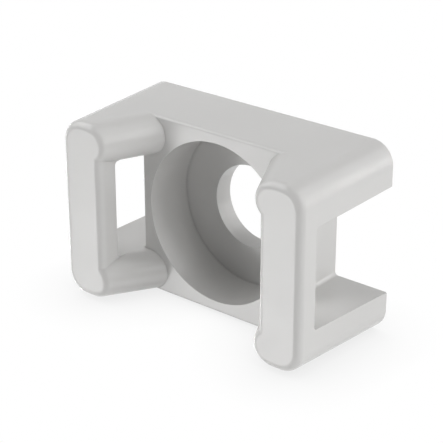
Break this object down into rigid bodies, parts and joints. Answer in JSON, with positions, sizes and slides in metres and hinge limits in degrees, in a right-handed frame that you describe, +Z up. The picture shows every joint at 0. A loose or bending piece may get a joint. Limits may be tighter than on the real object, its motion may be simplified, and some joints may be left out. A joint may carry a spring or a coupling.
{
  "type": "cable tie mount",
  "caption": "Low screw-down cable tie mount: a counterbored hub between raised end crossbars on leaning struts, with a pocket under each crossbar that the tie passes through.",
  "frame": {"origin": "middle of the screw hole, on the mounting face", "axes": "+X along the length, from crossbar to crossbar, the way the tie is threaded; +Y into the panel that the mount is screwed to; +Z up across the width, with the mount standing on one long side"},
  "size_m": [0.0222, 0.01, 0.0144],
  "materials": {
    "plastic": "light warm grey moulded nylon, smooth with a soft sheen"
  },
  "bodies": {
    "root": {"mount_body": "plastic"}
  },
  "joints": []
}
